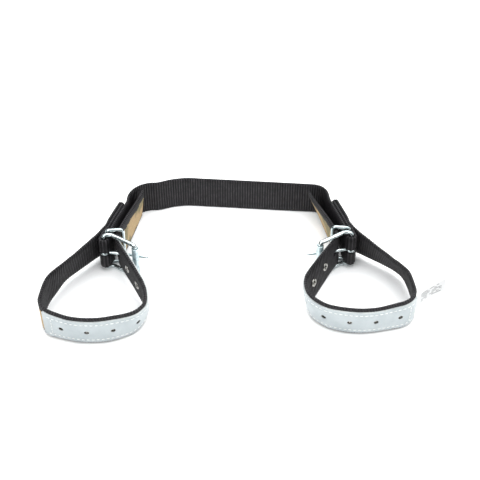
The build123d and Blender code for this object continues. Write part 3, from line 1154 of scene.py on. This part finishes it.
@dataclass
class Buckle:
    """A cuff's roller buckle and keeper: wire from the CAD, and a rolled tube made here."""

    side: Side
    wall: float = 1.1 * MM
    edge: float = 0.3 * MM

    def roller(self) -> bpy.types.Object:
        """The tube on the free bar, rolled from sheet: its two edges meet in a fine open seam."""
        low, high = (Vector(corner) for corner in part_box(self.side.named("buckle_roller")))
        middle = (low + high) / 2
        size = high - low
        radius = size.x / 2
        deselect_all()
        bpy.ops.mesh.primitive_cylinder_add(vertices=72, radius=radius, depth=size.z, end_fill_type="NOTHING",
                                            location=middle)
        tube = bpy.context.object
        tube.name = self.side.named("rolled_tube")
        apply_place(tube)
        bpy.ops.object.mode_set(mode="EDIT")
        away = middle.x - self.side.outward * radius
        select_parts("FACE", lambda co, _n: abs(co.x - away) < radius * 0.02 and co.y > middle.y)
        bpy.ops.mesh.delete(type="FACE")
        bpy.ops.object.mode_set(mode="OBJECT")
        wall = tube.modifiers.new("wall", "SOLIDIFY")
        wall.thickness = self.wall
        wall.offset = -1
        edge = tube.modifiers.new("edge", "BEVEL")
        edge.width = self.edge
        edge.segments = 2
        edge.limit_method = "ANGLE"
        edge.angle_limit = math.radians(50)
        apply_modifiers(tube)
        return tube

    def build(self) -> None:
        """Make the roller and finish the wire pieces."""
        tube = self.roller()
        ZINC_TUBE.wear(tube)
        smooth(tube, 35)
        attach(tube, self.side.named("roller"))
        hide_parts(self.side.named("buckle_roller"))
        for piece in ("buckle_frame", "buckle_prong", "keeper_loop"):
            ZINC_WIRE.wear(frame["nodes"][self.side.named(piece)])
        LOG.info("%s buckle", self.side.value)


@dataclass
class CareLabel:
    """A woven satin tag that stands out from the right cuff."""

    strap: Strap
    heading: float = 38.0
    length: float = 43 * MM
    height: float = 16 * MM
    thickness: float = 0.25 * MM
    curl: float = 3.5 * MM

    def build(self) -> None:
        """Make the tag as one gently curved sheet."""
        low, high = (Vector(corner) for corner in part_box("right_care_label"))
        root = Vector((low.x + 0.3 * MM, low.y + 0.3 * MM, (low.z + high.z) / 2))
        deselect_all()
        bpy.ops.mesh.primitive_grid_add(x_subdivisions=28, y_subdivisions=10, size=1, location=(0.5, 0, 0))
        tag = bpy.context.object
        tag.name = "satin_care_tag"
        apply_place(tag)
        tag.scale = (self.length, self.height, 1)
        apply_place(tag)
        tag.rotation_euler = (math.pi / 2, 0, 0)
        apply_place(tag)
        Strap.map_flat(tag)
        self._curl(tag)
        tag.rotation_euler = (0, 0, math.radians(self.heading))
        tag.location = root
        apply_place(tag)
        cloth = tag.modifiers.new("cloth", "SOLIDIFY")
        cloth.thickness = self.thickness
        cloth.offset = 0
        apply_modifiers(tag)
        SATIN.wear(tag)
        smooth(tag, 60)
        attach(tag, "label")
        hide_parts("right_care_label")
        LOG.info("care tag")

    def _curl(self, tag: bpy.types.Object) -> None:
        """Bow the tag sideways, give it a faint twisting ripple, and draw its free end back a little."""
        for vertex in tag.data.vertices:
            share = vertex.co.x / self.length
            vertex.co.y += self.curl * math.sin(share * math.pi) * 0.6
            vertex.co.y += 0.6 * MM * math.sin(share * 9.0) * vertex.co.z / self.height
            vertex.co.x -= 0.4 * MM * share


@dataclass
class StackStitching:
    """The black thread that holds the three sewn layers, seen on the outermost one."""

    side: Side

    def build(self) -> None:
        """Give the CAD thread its finish."""
        node = frame["nodes"][self.side.named("stack_stitching")]
        BLACK_THREAD.wear(node)
        LOG.info("%s stack stitching", self.side.value)


# ---------------------------------------------------------------- studio


@dataclass
class Studio:
    """Plain white paper, soft light and the camera."""

    depression: float = 41.6
    distance: float = 1.25
    lens: float = 85.3
    target: tuple[float, float, float] = (-0.0043, 0.0486, 0.0)

    def floor(self) -> None:
        """A large sheet of matte paper."""
        deselect_all()
        bpy.ops.mesh.primitive_grid_add(x_subdivisions=4, y_subdivisions=4, size=6, location=(0, 0, -0.0002))
        paper = bpy.context.object
        paper.name = "paper_floor"
        apply_place(paper)
        PAPER.wear(paper)

    def light(self, name: str, place: Sequence[float], size: float, power: float) -> None:
        """A square soft light aimed at the object."""
        deselect_all()
        bpy.ops.object.light_add(type="AREA", location=place)
        lamp = bpy.context.object
        lamp.name = name
        lamp.data.size = size
        lamp.data.energy = power
        lamp.rotation_euler = (Vector(self.target) - Vector(place)).to_track_quat("-Z", "Y").to_euler()

    def world(self, strength: float) -> None:
        """A pale surround that darkens towards the horizon, which gives bright metal its dark edges."""
        world = bpy.data.worlds.new("surround")
        world.use_nodes = True
        tree = world.node_tree
        background = tree.nodes["Background"]
        place = add_node(tree, "ShaderNodeTexCoord")
        axes = add_node(tree, "ShaderNodeSeparateXYZ", {}, {0: place.outputs["Generated"]})
        ramp = add_node(tree, "ShaderNodeValToRGB", {}, {"Fac": axes.outputs["Z"]})
        fill_ramp(ramp, [(0.0, linear("2E3234")), (0.25, linear("6E7578")), (0.7, linear("F4F8FA"))])
        tree.links.new(ramp.outputs["Color"], background.inputs["Color"])
        background.inputs["Strength"].default_value = strength
        bpy.context.scene.world = world

    def camera(self) -> None:
        """The camera, looking down from the front."""
        turn = math.radians(self.depression)
        away = Vector((0, -math.cos(turn), math.sin(turn))) * self.distance
        deselect_all()
        bpy.ops.object.camera_add(location=Vector(self.target) + away)
        camera = bpy.context.object
        camera.rotation_euler = (-away).to_track_quat("-Z", "Y").to_euler()
        camera.data.lens = self.lens
        camera.data.sensor_width = 36
        camera.data.clip_end = 30
        bpy.context.scene.camera = camera

    def build(self) -> None:
        """Set up everything round the object."""
        self.floor()
        self.light("overhead_softbox", (0.1, 0.3, 1.6), 2.4, 52)
        self.light("front_softbox", (-0.9, -1.2, 1.1), 1.0, 12)
        self.light("side_softbox", (1.3, -0.4, 0.8), 0.9, 8)
        self.world(1.05)
        self.camera()
        bpy.context.scene.view_settings.view_transform = "Standard"


def main() -> None:
    """Build the whole object and its studio."""
    logging.basicConfig(level=logging.INFO, format="%(name)s: %(message)s")
    Studio().build()
    strap = Strap()
    strap.build()
    for side in Side:
        LeatherFacing(strap, side).build()
        Eyelets(strap, side).build()
        Buckle(side).build()
        StackStitching(side).build()
    CareLabel(strap).build()
    bpy.data.objects.remove(strap.guide)
    deselect_all()


if __name__ == "__main__":
    main()
